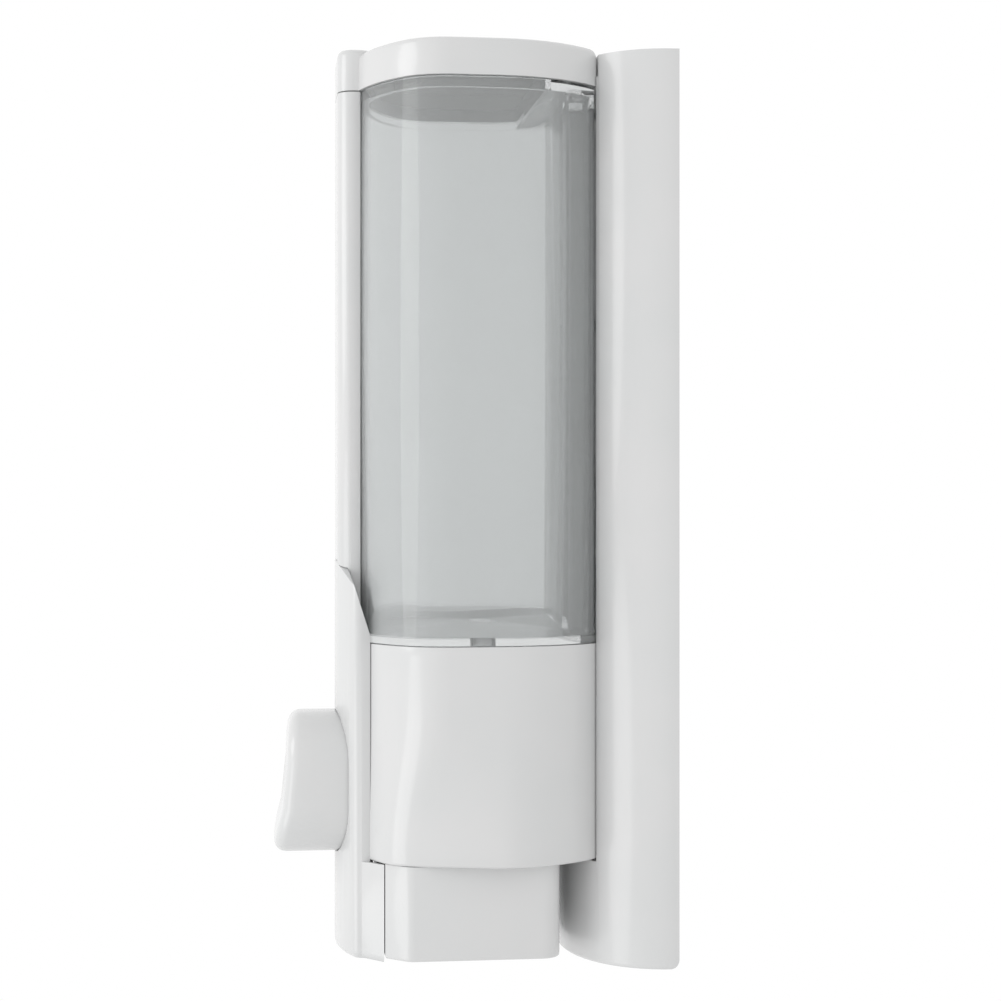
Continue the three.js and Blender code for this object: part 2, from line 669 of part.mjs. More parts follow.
// ---- button ----
function pushButton() {
  const top = PUMP_HEIGHT + BUTTON_HEIGHT / 2 + 2;
  const bottom = PUMP_HEIGHT - BUTTON_HEIGHT / 2 - 2;
  const face = new THREE.QuadraticBezierCurve(
    new THREE.Vector2(BUTTON_FRONT, PUMP_HEIGHT),
    new THREE.Vector2(BUTTON_FRONT, (PUMP_HEIGHT + bottom) / 2),
    new THREE.Vector2(BUTTON_FRONT - BUTTON_LIP, bottom),
  ).getPoints(6);
  const side = (inset, rear) =>
    crosswise(
      [
        new THREE.Vector2(rear, top),
        new THREE.Vector2(BUTTON_FRONT + inset, top),
        ...face.map((p) => new THREE.Vector2(p.x + inset, p.y)),
        new THREE.Vector2(rear, bottom),
      ],
      2 * BUTTON_HALF + 10,
    );
  const flange = lengthwise(buttonOutline(BUTTON_FLANGE), BUTTON_REAR, BUTTON_REAR - BUTTON_FLANGE_THICK);
  let button = side(0, BUTTON_REAR).intersect(lengthwise(buttonOutline(0), -90, -135)).add(flange);
  button = button.subtract(side(WALL, BUTTON_REAR + 1).intersect(lengthwise(buttonOutline(-WALL), -90, -135)));
  const boss = depthRod(ROD_RADIUS + WALL, 0, PUMP_HEIGHT, COLLAR_FRONT - 0.4, BUTTON_FRONT + 1, 24);
  const bossHole = depthRod(ROD_RADIUS + GAP, 0, PUMP_HEIGHT, -100, ROD_FRONT - GAP, 24);
  return button.add(boss).subtract(bossHole);
}
piece("push_button", pushButton(), whiteAbs);

// ---- pump ----
function layAlongPump(body) {
  return alongY(body, 0, PUMP_HEIGHT);
}


function pumpCylinder() {
  const flange = box(
    -FLANGE_HALF,
    FLANGE_HALF,
    CYLINDER_FRONT,
    CYLINDER_FRONT + CAP_THICK,
    PUMP_HEIGHT - 10.5,
    PUMP_HEIGHT + 10.5,
  );
  let body = depthRod(CYLINDER_OUTER, 0, PUMP_HEIGHT, BORE_REAR + BORE_WALL, CYLINDER_FRONT, 36).add(flange);
  body = body.add(uprightRod(CHAMBER_RADIUS + 2, 0, VALVE_DEPTH, PUMP_HEIGHT, SOCKET_FLOOR, 28));
  body = body.add(uprightRod(SOCKET_RADIUS + 2, 0, VALVE_DEPTH, SOCKET_FLOOR - 2, SOCKET_TOP, 32));
  body = body.add(uprightRod(OUTLET_SOCKET + 2, 0, VALVE_DEPTH, OUTLET_END, PUMP_HEIGHT, 28));
  body = body.subtract(depthRod(BORE_RADIUS, 0, PUMP_HEIGHT, BORE_REAR, CYLINDER_FRONT - 1, 36));
  // inlet: port, ball chamber, socket
  body = body.subtract(uprightRod(CHAMBER_RADIUS - 1, 0, VALVE_DEPTH, PUMP_HEIGHT, SOCKET_FLOOR + 1, 20));
  const cageFloor = CAGE_TOP - CAGE_THICK - GAP;
  body = body.subtract(uprightRod(CHAMBER_RADIUS, 0, VALVE_DEPTH, cageFloor, SOCKET_FLOOR + 1, 24));
  body = body.subtract(uprightRod(SOCKET_RADIUS, 0, VALVE_DEPTH, SOCKET_FLOOR, SOCKET_TOP + 1, 32));
  // outlet: seat hole, ball chamber, spout socket
  body = body.subtract(uprightRod(SEAT_RADIUS, 0, VALVE_DEPTH, OUTLET_SEAT - 1, PUMP_HEIGHT, 20));
  body = body.subtract(uprightRod(CHAMBER_RADIUS, 0, VALVE_DEPTH, OUTLET_END - 1, OUTLET_SEAT, 24));
  body = body.subtract(uprightRod(OUTLET_SOCKET, 0, VALVE_DEPTH, OUTLET_END - 1, SPOUT_TOP + GAP, 24));
  return body.subtract(pumpScrewHoles(2));
}

function pumpScrewHoles(radius) {
  const hole = (x) => depthRod(radius, x, PUMP_HEIGHT, CYLINDER_FRONT + 8, CYLINDER_FRONT - 8, 12);
  return hole(-PUMP_SCREW_X).add(hole(PUMP_SCREW_X));
}
piece("pump_cylinder", pumpCylinder(), acetal);

function cylinderCap() {
  const rear = CYLINDER_FRONT - GAP;
  const plate = box(-FLANGE_HALF, FLANGE_HALF, rear - CAP_THICK, rear, PUMP_HEIGHT - 9, PUMP_HEIGHT + 9);
  const spigot = depthRod(BORE_RADIUS - 0.2, 0, PUMP_HEIGHT, CYLINDER_FRONT + 1, rear - 1, 36);
  const bore = depthRod(ROD_RADIUS + ROD_CLEARANCE, 0, PUMP_HEIGHT, CYLINDER_FRONT + 8, CYLINDER_FRONT - 8, 28);
  return plate.add(spigot).subtract(bore).subtract(pumpScrewHoles(2));
}
piece("cylinder_cap", cylinderCap(), acetal);

// A pan head screw along Z, head on top at height 0, shank below.
function panScrew(length, head = SCREW_HEAD) {
  return turned([
    [0, -length],
    [SCREW_SHANK * 0.4, -length],
    [SCREW_SHANK, -length + 1.5],
    [SCREW_SHANK, 0],
    [head, 0],
    [head, 1.1],
    [head * 0.7, 1.8],
    [0, 1.8],
  ], 16);
}

for (const [side, sign] of [["left", -1], ["right", 1]]) {
  const pumpScrew = panScrew(13).rotate([90, 0, 0]);
  const head = CYLINDER_FRONT - CAP_THICK - 2 * GAP;
  piece(`pump_screw_${side}`, pumpScrew.translate([sign * PUMP_SCREW_X, head, PUMP_HEIGHT]), steel);
  const shieldScrew = panScrew(9).rotate([-90, 0, 0]);
  const seat = LOWER_FRONT + WALL + GAP;
  piece(`shield_screw_${side}`, shieldScrew.translate([sign * SHIELD_SCREW_X, seat, SHIELD_SCREW_Z]), steel);
}
const railScrewHead = SKIRT_TOP + GAP + WALL + GAP;
piece("rail_screw", panScrew(7, RAIL_SCREW_HEAD).translate([0, RAIL_SCREW_DEPTH, railScrewHead]), steel);

function plunger() {
  const along = (y) => -y;
  const grooveMiddle = PISTON_REAR - PISTON_LENGTH / 2;
  const groove = CUP_LENGTH / 2 + 0.2;
  return layAlongPump(
    turned([
      [0, along(PISTON_REAR)],
      [PISTON_RADIUS, along(PISTON_REAR)],
      [PISTON_RADIUS, along(grooveMiddle + groove)],
      [PISTON_RADIUS - 2, along(grooveMiddle + groove)],
      [PISTON_RADIUS - 2, along(grooveMiddle - groove)],
      [PISTON_RADIUS, along(grooveMiddle - groove)],
      [PISTON_RADIUS, along(PISTON_REAR - PISTON_LENGTH)],
      [ROD_RADIUS, along(PISTON_REAR - PISTON_LENGTH - 1)],
      [ROD_RADIUS, along(COLLAR_FRONT + COLLAR_THICK)],
      [COLLAR_RADIUS, along(COLLAR_FRONT + COLLAR_THICK)],
      [COLLAR_RADIUS, along(COLLAR_FRONT)],
      [ROD_RADIUS, along(COLLAR_FRONT)],
      [ROD_RADIUS, along(ROD_FRONT)],
      [0, along(ROD_FRONT)],
    ]),
  );
}
piece("plunger", plunger(), acetal);

function pistonCup() {
  const middle = -(PISTON_REAR - PISTON_LENGTH / 2);
  const half = CUP_LENGTH / 2;
  const inner = PISTON_RADIUS - 2 + 0.15;
  return layAlongPump(
    turned([
      [inner, middle - half],
      [CUP_RADIUS, middle - half],
      [CUP_RADIUS - 0.5, middle],
      [CUP_RADIUS, middle + half],
      [inner, middle + half],
    ], 32),
  );
}
piece("piston_cup", pistonCup(), silicone);

// A compression spring about Z, from height 0 up.
class Helix extends THREE.Curve {
  constructor(radius, length, turns) {
    super();
    Object.assign(this, { radius, length, turns });
  }
  getPoint(t, target = new THREE.Vector3()) {
    const a = t * this.turns * 2 * Math.PI;
    return target.set(this.radius * Math.cos(a), this.radius * Math.sin(a), t * this.length);
  }
}

function spring(radius, wire, length, turns, steps, sides) {
  const section = new THREE.Shape(arc(0, 0, wire, 0, 2 * Math.PI * (1 - 1 / sides), sides - 1));
  const geometry = new THREE.ExtrudeGeometry(section, {
    steps: turns * steps,
    extrudePath: new Helix(radius, length - 2 * wire, turns),
  });
  return solid(geometry.translate(0, 0, wire));
}

const springRear = CYLINDER_FRONT - GAP - CAP_THICK - 0.1;
const springFront = COLLAR_FRONT + COLLAR_THICK + 0.1;
const returnSpring = spring(SPRING_RADIUS, SPRING_WIRE, springRear - springFront, SPRING_TURNS, 12, 6);
piece("return_spring", layAlongPump(returnSpring).translate([0, springRear, 0]), steel);

// ---- valves and spout, all on one upright line below the bottle's neck ----
function inletGrommet() {
  const outer = SOCKET_RADIUS - GAP;
  const floor = SOCKET_FLOOR + GAP;
  const step = floor + GROMMET_FLOOR;
  return turned([
    [SEAT_RADIUS, floor],
    [outer, floor],
    [outer, SOCKET_TOP - 1],
    [NECK_OUTER + GAP, SOCKET_TOP - 1],
    [NECK_OUTER + GAP, step],
    [SEAT_RADIUS, step],
  ]).translate([0, VALVE_DEPTH, 0]);
}
piece("inlet_grommet", inletGrommet(), silicone);

function inletCage() {
  const low = CAGE_TOP - CAGE_THICK;
  const ring = turned([
    [CHAMBER_RADIUS - 1.1, low],
    [CHAMBER_RADIUS - 0.1, low],
    [CHAMBER_RADIUS - 0.1, CAGE_TOP],
    [CHAMBER_RADIUS - 1.1, CAGE_TOP],
  ], 20);
  const bar = CHAMBER_RADIUS - 0.6;
  return ring.add(box(-bar, bar, -0.4, 0.4, low, CAGE_TOP - 0.3)).translate([0, VALVE_DEPTH, 0]);
}
piece("inlet_cage", inletCage(), acetal);

function ball(height) {
  return solid(new THREE.SphereGeometry(BALL_RADIUS, 16, 10).rotateX(Math.PI / 2)).translate([
    0,
    VALVE_DEPTH,
    height,
  ]);
}
const seatDrop = Math.sqrt(BALL_RADIUS ** 2 - SEAT_RADIUS ** 2);
piece("inlet_ball", ball(SOCKET_FLOOR + GAP - seatDrop - INLET_LIFT - 0.1), steel);
const outletBall = OUTLET_SEAT - seatDrop - 0.1;
piece("outlet_ball", ball(outletBall), steel);

const outletSpringLow = SPOUT_TOP + 0.1;
const outletSpring = spring(
  OUTLET_SPRING_RADIUS,
  OUTLET_SPRING_WIRE,
  outletBall - BALL_RADIUS - 0.1 - outletSpringLow,
  OUTLET_SPRING_TURNS,
  10,
  6,
);
piece("outlet_spring", outletSpring.translate([0, VALVE_DEPTH, outletSpringLow]), steel);

function spout() {
  const bore = 1.5;
  const flange = OUTLET_END - GAP;
  return turned([
    [bore, SPOUT_END],
    [2.6, SPOUT_END],
    [3.9, flange - 2],
    [OUTLET_SOCKET + 2, flange - 2],
    [OUTLET_SOCKET + 2, flange],
    [OUTLET_SOCKET - GAP, flange],
    [OUTLET_SOCKET - GAP, SPOUT_TOP],
    [bore, SPOUT_TOP],
  ]).translate([0, VALVE_DEPTH, 0]);
}
piece("spout", spout(), acetal);

export default dispenser;
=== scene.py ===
# %% [markdown]
# # Wall mounted soap dispenser
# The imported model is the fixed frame: it says where every piece sits and how it moves. This lesson puts a
# finished piece in the place of each of its nodes. Most are copies of their node with the soft edges of a
# moulded part. The skirt is also bent and the screws are cut, and the button, springs and balls are built anew.

# %% Load the frame
import json
import math

import bmesh
import bpy
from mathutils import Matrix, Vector


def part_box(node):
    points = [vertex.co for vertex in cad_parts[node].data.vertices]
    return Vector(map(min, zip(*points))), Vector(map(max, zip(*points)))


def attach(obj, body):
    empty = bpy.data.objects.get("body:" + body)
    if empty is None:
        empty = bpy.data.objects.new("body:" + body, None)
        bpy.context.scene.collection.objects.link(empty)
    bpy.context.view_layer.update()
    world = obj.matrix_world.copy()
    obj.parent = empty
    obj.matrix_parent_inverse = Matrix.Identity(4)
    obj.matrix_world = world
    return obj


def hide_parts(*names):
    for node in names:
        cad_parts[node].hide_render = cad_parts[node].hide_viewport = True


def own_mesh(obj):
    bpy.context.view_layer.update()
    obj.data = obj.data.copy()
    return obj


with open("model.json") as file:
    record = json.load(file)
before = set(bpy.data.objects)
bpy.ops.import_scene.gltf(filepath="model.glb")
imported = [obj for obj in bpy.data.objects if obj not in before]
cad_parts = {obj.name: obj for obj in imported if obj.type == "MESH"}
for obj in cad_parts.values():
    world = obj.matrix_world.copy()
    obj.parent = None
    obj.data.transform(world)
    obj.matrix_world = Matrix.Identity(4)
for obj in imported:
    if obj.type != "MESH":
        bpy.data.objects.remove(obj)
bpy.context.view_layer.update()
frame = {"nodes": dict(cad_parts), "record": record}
MM = 0.001
print("nodes:", len(frame["nodes"]))

# %% [markdown]
# ## Helpers for materials
# Each finish is a small node tree on a Principled shader. One function adds a node, one turns a hex colour to
# linear light, and one starts a material, so that every finish reads as a short recipe.

# %% Material helpers
def linear(hex_code):
    """An sRGB hex colour as linear red, green, blue and alpha."""
    parts = [int(hex_code[i:i + 2], 16) / 255 for i in (1, 3, 5)]
    return (*[c / 12.92 if c <= 0.04045 else ((c + 0.055) / 1.055) ** 2.4 for c in parts], 1.0)


def add(tree, kind, settings=None, links=None):
    """Adds a node of this kind, sets its attributes or inputs, and links its inputs to other sockets."""
    node = tree.nodes.new(kind)
    for name, value in (settings or {}).items():
        if name in node.inputs:
            node.inputs[name].default_value = value
        else:
            setattr(node, name, value)
    for name, socket in (links or {}).items():
        tree.links.new(socket, node.inputs[name])
    return node


def start_material(name, **sockets):
    """A new material and its Principled shader, with these socket values."""
    material = bpy.data.materials.new(name)
    material.use_nodes = True
    shader = material.node_tree.nodes["Principled BSDF"]
    for socket, value in sockets.items():
        shader.inputs[socket.replace("_", " ")].default_value = value
    return material, material.node_tree, shader


def noise(tree, size_mm, detail=2.0, stretch=(1, 1, 1)):
    """Noise on object coordinates whose lumps are about size_mm across."""
    place = add(tree, "ShaderNodeTexCoord")
    mapping = add(tree, "ShaderNodeMapping", {"Scale": stretch}, {"Vector": place.outputs["Object"]})
    settings = {"Scale": 1 / (size_mm * MM), "Detail": detail}
    return add(tree, "ShaderNodeTexNoise", settings, {"Vector": mapping.outputs["Vector"]})


def vary(tree, shader, socket, source, low, high):
    """Drives a socket between low and high with a noise."""
    spread = add(
        tree,
        "ShaderNodeMapRange",
        {"From Min": 0.3, "From Max": 0.7, "To Min": low, "To Max": high},
        {"Value": source.outputs["Fac"]},
    )
    tree.links.new(spread.outputs["Result"], shader.inputs[socket])


def tint(tree, shader, source, dark, light):
    """Drifts the base colour between two close tones."""
    ramp = add(tree, "ShaderNodeValToRGB", None, {"Fac": source.outputs["Fac"]})
    ramp.color_ramp.elements[0].position = 0.35
    ramp.color_ramp.elements[0].color = linear(dark)
    ramp.color_ramp.elements[1].position = 0.65
    ramp.color_ramp.elements[1].color = linear(light)
    tree.links.new(ramp.outputs["Color"], shader.inputs["Base Color"])


def relief(tree, shader, source, height_mm):
    """Raises the surface by a noise, by height_mm at most."""
    settings = {"Distance": height_mm * MM, "Strength": 1.0}
    bump = add(tree, "ShaderNodeBump", settings, {"Height": source.outputs["Fac"]})
    tree.links.new(bump.outputs["Normal"], shader.inputs["Normal"])


# %% [markdown]
# ## Finishes
# Nearly everything that shows is white ABS from a polished mould. Its skin is glossy, but never a perfect
# mirror: it sinks a little over ribs and has a faint drift in gloss. The bottle is clear SAN, a stiff
# styrene plastic that has turned a little milky, so its walls scatter some light and its edges show as soft
# lines. Hidden pump parts are acetal, the seals are silicone, the balls, pin and springs stainless steel,
# and the pads are foam tape.

# %% White ABS, moulded in a polished tool: bright and glossy, with a faint sink and drift in its gloss
def make_white_abs():
    material, tree, shader = start_material("white_abs_moulded", IOR=1.53, Roughness=0.22)
    drift = noise(tree, 35)
    tint(tree, shader, drift, "#CBCCCC", "#CECECE")
    vary(tree, shader, "Roughness", noise(tree, 12), 0.2, 0.26)
    relief(tree, shader, noise(tree, 18, detail=0.0), 0.02)
    shader.inputs["Coat Weight"].default_value = 0.25
    shader.inputs["Coat Roughness"].default_value = 0.06
    return material


# %% Clear SAN, moulded: smooth inside and out, with a trace of grey and a faint milky haze
def make_clear_san():
    material, tree, shader = start_material("clear_san_moulded", IOR=1.3, Roughness=0.03)
    shader.inputs["Transmission Weight"].default_value = 0.8
    shader.inputs["Base Color"].default_value = linear("#E8EAEA")
    relief(tree, shader, noise(tree, 26, detail=0.0), 0.03)
    vary(tree, shader, "Roughness", noise(tree, 9), 0.02, 0.05)
    return material


# %% Acetal, machined or moulded: a waxy natural white with a soft sheen
def make_acetal():
    material, tree, shader = start_material("acetal_natural", IOR=1.48)
    tint(tree, shader, noise(tree, 6), "#D9DAD5", "#E2E2DD")
    vary(tree, shader, "Roughness", noise(tree, 2), 0.34, 0.44)
    shader.inputs["Subsurface Weight"].default_value = 0.1
    shader.inputs["Subsurface Radius"].default_value = (0.002, 0.002, 0.002)
    return material


# %% Silicone, moulded: a soft milky grey that scatters light and shows almost no highlight
def make_silicone():
    material, tree, shader = start_material("silicone_moulded", IOR=1.41)
    tint(tree, shader, noise(tree, 5), "#B4B8BA", "#BFC3C4")
    vary(tree, shader, "Roughness", noise(tree, 1.5), 0.52, 0.64)
    relief(tree, shader, noise(tree, 0.8), 0.01)
    return material


# %% Double sided foam tape, closed cell: a matt off-white with fine open pores on its cut edge
def make_foam_tape():
    material, tree, shader = start_material("foam_tape_closed_cell", IOR=1.45)
    pores = noise(tree, 0.9, detail=4.0)
    tint(tree, shader, pores, "#C4C4BD", "#DADAD4")
    vary(tree, shader, "Roughness", pores, 0.8, 0.95)
    relief(tree, shader, pores, 0.15)
    return material


# %% Stainless steel, drawn or turned: neutral grey metal with fine lines round the work
def make_stainless():
    material, tree, shader = start_material("stainless_steel_drawn", Metallic=1.0)
    lines = noise(tree, 0.5, detail=3.0, stretch=(1, 0.1, 1))
    tint(tree, shader, lines, "#A9ACAF", "#BFC1C3")
    vary(tree, shader, "Roughness", lines, 0.2, 0.34)
    return material


FINISH = {
    "white_abs": make_white_abs(),
    "clear_plastic": make_clear_san(),
    "acetal": make_acetal(),
    "silicone": make_silicone(),
    "foam_tape": make_foam_tape(),
    "steel": make_stainless(),
}
print("finishes:", sorted(m.name for m in FINISH.values()))

# %% [markdown]
# ## Which finish goes on which piece
# The record lists a material slot and a body for every node. A finished piece takes both from its node, so
# a spring always gets steel and always moves with the part that it belongs to.

# %% Slots, bodies and a way to dress a piece
slot_of = {part["node"]: part["material_slot"] for part in frame["record"]["subparts"]}
body_of = {
    node: body
    for body, nodes in frame["record"]["behaviour"]["bodies"].items()
    for node in nodes
}


def dress(obj, slot):
    obj.data.materials.clear()
    obj.data.materials.append(FINISH[slot])


print("slots in use:", sorted(set(slot_of.values())))


# %% [markdown]
# ## Softened copies
# A moulded edge is never sharp: tools have radii and a sharp edge would chip. A copy of a node is merged,
# its flat faces are joined, and each sharp edge gets a small round, which is what catches the thin
# highlights that make plastic look moulded. The copy then stands for its node.

# %% Helpers for finished pieces
SMOOTH_ANGLE = math.radians(32)
MERGE_DISTANCE = 2e-6  # two thousandths of a millimetre, well below any real edge
FLAT_ANGLE = math.radians(0.4)


def finish_piece(obj, node):
    """Shades a piece, gives it its node's finish, and lets it ride and stand in for the node."""
    mesh = obj.data
    mesh.validate()
    dress(obj, slot_of[node])
    mesh.shade_smooth()
    mesh.set_sharp_from_angle(angle=SMOOTH_ANGLE)
    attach(obj, body_of[node])
    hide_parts(node)
    print(obj.name, len(mesh.polygons), "faces")
    return obj


def new_object(name, mesh):
    obj = bpy.data.objects.new(name, mesh)
    bpy.context.scene.collection.objects.link(obj)
    return obj


def baked(obj):
    """Applies the modifiers of an object to its mesh."""
    graph = bpy.context.evaluated_depsgraph_get()
    mesh = bpy.data.meshes.new_from_object(obj.evaluated_get(graph))
    obj.modifiers.clear()
    old = obj.data
    obj.data = mesh
    bpy.data.meshes.remove(old)
    return obj


def merged_copy(node, name):
    """A copy of a CAD node with its vertices merged and its flat faces joined."""
    mesh = frame["nodes"][node].data.copy()
    bm = bmesh.new()
    bm.from_mesh(mesh)
    bmesh.ops.remove_doubles(bm, verts=bm.verts, dist=MERGE_DISTANCE)
    bmesh.ops.dissolve_limit(bm, angle_limit=FLAT_ANGLE, verts=bm.verts, edges=bm.edges)
    bm.to_mesh(mesh)
    bm.free()
    return new_object(name, mesh)


def round_edges(obj, radius_mm, segments=3, angle=35):
    """Rounds every edge sharper than the angle."""
    bevel = obj.modifiers.new("moulded_edges", "BEVEL")
    bevel.width = radius_mm * MM
    bevel.segments = segments
    bevel.limit_method = "ANGLE"
    bevel.angle_limit = math.radians(angle)
    bevel.use_clamp_overlap = True
    bevel.miter_outer = "MITER_ARC"
    return baked(obj)


def softened(node, name, radius_mm):
    return finish_piece(round_edges(merged_copy(node, name), radius_mm), node)


# %% [markdown]
# ## Wall plate, spine, shield, lid, bottle and rail
# These come straight from their nodes. The plate is a domed shell whose lower edge is already rounded, the
# spine a plain channel, and the shield a bowed cap with an arched top. Only their small edges need rounding,
# so a bevel on every sharp edge is enough, and the shape stays exactly where the frame has it.

# %% Softened pieces
softened("wall_plate", "wall_plate_moulding", 0.5)
softened("front_spine", "front_spine_trim", 0.45)
softened("front_shield", "front_shield_moulding", 0.6)
softened("lid", "lid_moulding", 0.35)
softened("bottle", "bottle_clear", 0.3)
softened("rear_rail", "rear_rail_moulding", 0.4)

# %% [markdown]
# ## Skirt and lower housing
# The skirt is not a straight tube. Its front corners start level with the bottle and sweep forward and
# inward as they go down, so the flank widens into a slanting facet. The node has the straight walls, so the
# copy is first sliced into bands, which gives the walls rows of points to bend, and then each row is moved.

# %% Skirt with sweeping front corners
skirt_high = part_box("pump_housing")[1]
body_half = skirt_high.x
skirt_floor = -111 * MM
BAND = 4 * MM


def smoothstep(t):
    t = min(max(t, 0.0), 1.0)
    return t * t * (3 - 2 * t)


def sliced(obj, low, high, step):
    """Cuts a piece into level bands, so that its long walls can bend."""
    bm = bmesh.new()
    bm.from_mesh(obj.data)
    level = low + step
    while level < high:
        everything = bm.verts[:] + bm.edges[:] + bm.faces[:]
        place = (0, 0, level)
        bmesh.ops.bisect_plane(bm, geom=everything, dist=1e-6, plane_co=place, plane_no=(0, 0, 1))
        level += step
    bm.to_mesh(obj.data)
    bm.free()


def sweep_corners(obj):
    """Moves the skirt's front corners inward and forward, more and more towards its lower edge."""
    flank_start, flank_length = -56 * MM, 22 * MM  # from the rear to the front, along Y
    sweep_start, sweep_length = -58 * MM, 50 * MM  # from the top to the lower edge, along Z
    shift_in, shift_forward = 0.14, 6.1 * MM  # a share of the half width, and a distance
    for vertex in obj.data.vertices:
        x, y, z = vertex.co
        if z < skirt_floor - 0.05 * MM:
            continue
        down = smoothstep((sweep_start - z) / sweep_length)
        weight = down * smoothstep((flank_start - y) / flank_length)
        share = x / body_half
        vertex.co.x = x * (1 - shift_in * weight)
        vertex.co.y = y - shift_forward * share * share * weight


skirt = merged_copy("pump_housing", "pump_housing_moulding")
# A cut just under the skirt's floor keeps the box below it straight.
sliced(skirt, skirt_floor - 0.2 * MM, skirt_floor, 0.1 * MM)
sliced(skirt, skirt_floor + 1.5 * MM, skirt_high.z - 1 * MM, BAND)
sweep_corners(skirt)
round_edges(skirt, 0.4)
finish_piece(skirt, "pump_housing")

# %% [markdown]
# ## Push button
# The button is a deep oval cap for two fingers. Its front is dished and slopes forward to a lip at the
# bottom, so that fingers don't slip off. It is built as a skin of rings: along the wall, round the front
# edge, and over the dished face to its middle. A Solidify modifier then gives the wall its thickness.

# %% Button outline and face
button_low, button_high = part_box("push_button")
button_middle = (button_low.z + button_high.z) / 2
FLANGE = 1.2 * MM
FLANGE_DEPTH = 1.8 * MM
BUTTON_WALL = 2 * MM
button_half = button_high.x - FLANGE
button_reach = (button_high.z - button_low.z) / 2 - FLANGE
OVAL_CORNER = 15 * MM
EDGE_ROUND = 4 * MM
LIP = 3.9 * MM
FACE_DISH = 1.0 * MM
EDGE_RINGS, FACE_RINGS = 6, 10
face_front = button_low.y + LIP


def oval(inset, steps=10):
    """A rounded rectangle in X and Z, as (x, z), counted round from its lower right corner."""
    corner = max(OVAL_CORNER - inset, 1 * MM)
    half, reach = button_half - inset, button_reach - inset
    centres = [(half - corner, corner - reach), (half - corner, reach - corner)]
    centres += [(corner - half, reach - corner), (corner - half, corner - reach)]
    points = []
    for quarter, (cx, cz) in enumerate(centres):
        for i in range(steps + 1):
            a = (quarter - 1 + i / steps) * math.pi / 2
            points.append((cx + corner * math.cos(a), button_middle + cz + corner * math.sin(a)))
    return points


def face_depth(x, z):
    """Y of the dished front at this place: level above, sloping forward to the lip below."""
    slope = smoothstep((button_middle + 2 * MM - z) / (button_reach + 1 * MM))
    across = 1 - min(1.0, (x / button_half) ** 2)
    return face_front - LIP * slope + FACE_DISH * across * (1 - slope)


# %% Build the button
def skin(name, rings):
    """A mesh from rings with the same number of points, closed at the last ring by a fan."""
    verts = [point for ring in rings for point in ring]
    count = len(rings[0])
    faces = []
    for r in range(len(rings) - 1):
        for i in range(count):
            j = (i + 1) % count
            faces.append((r * count + i, r * count + j, (r + 1) * count + j, (r + 1) * count + i))
    last = (len(rings) - 1) * count
    tip = sum((Vector(p) for p in rings[-1]), Vector()) / count
    verts.append(tuple(tip))
    faces += [(last + i, last + (i + 1) % count, len(verts) - 1) for i in range(count)]
    mesh = bpy.data.meshes.new(name)
    mesh.from_pydata(verts, [], faces)
    bm = bmesh.new()
    bm.from_mesh(mesh)
    bmesh.ops.remove_doubles(bm, verts=bm.verts, dist=1e-6)
    bmesh.ops.recalc_face_normals(bm, faces=bm.faces)
    bm.to_mesh(mesh)
    bm.free()
    return new_object(name, mesh)


def make_button():
    rings = []
    rear = button_high.y
    flange_front = rear - FLANGE_DEPTH
    for inset, depth in ((-FLANGE, rear), (-FLANGE, flange_front), (0, flange_front)):
        rings.append([(x, depth, z) for x, z in oval(inset)])
    outer = oval(0)
    wall_end = [face_depth(x, z) + EDGE_ROUND for x, z in outer]
    for share in (0.25, 0.5, 0.75, 1.0):
        rings.append([
            (x, flange_front + (depth - flange_front) * share, z)
            for (x, z), depth in zip(outer, wall_end)
        ])
    for i in range(1, EDGE_RINGS + 1):
        a = i / EDGE_RINGS * math.pi / 2
        inset = EDGE_ROUND * (1 - math.cos(a))
        rings.append([
            (x, face_depth(x, z) + EDGE_ROUND * (1 - math.sin(a)), z)
            for x, z in oval(inset)
        ])
    inner = oval(EDGE_ROUND)
    for i in range(1, FACE_RINGS):
        s = 1 - i / FACE_RINGS
        ring = []
        for x, z in inner:
            px, pz = x * s, button_middle + (z - button_middle) * s
            ring.append((px, face_depth(px, pz), pz))
        rings.append(ring)
    button = skin("push_button_cap", rings)
    wall = button.modifiers.new("wall", "SOLIDIFY")
    wall.thickness = BUTTON_WALL
    wall.offset = -1
    return baked(button)


finish_piece(make_button(), "push_button")

# %% [markdown]
# ## Springs
# Both springs follow a rule: a wire wound on a helix. Geometry Nodes has a Spiral curve for the path, and
# Curve to Mesh sweeps a round section along it. One tree makes both, with the sizes as its inputs. The helix
# is built by a function of its own, because the threads of the screws are wound in the same way.

# %% Helix helpers and the spring tree
def start_tree(name, sizes):
    """A geometry tree with these sizes and a finish as its inputs, and the sockets that give them."""
    tree = bpy.data.node_groups.new(name, "GeometryNodeTree")
    face = tree.interface
    for size in sizes:
        face.new_socket(size, in_out="INPUT", socket_type="NodeSocketFloat")
    face.new_socket("Finish", in_out="INPUT", socket_type="NodeSocketMaterial")
    face.new_socket("Geometry", in_out="OUTPUT", socket_type="NodeSocketGeometry")
    return tree, add(tree, "NodeGroupInput").outputs


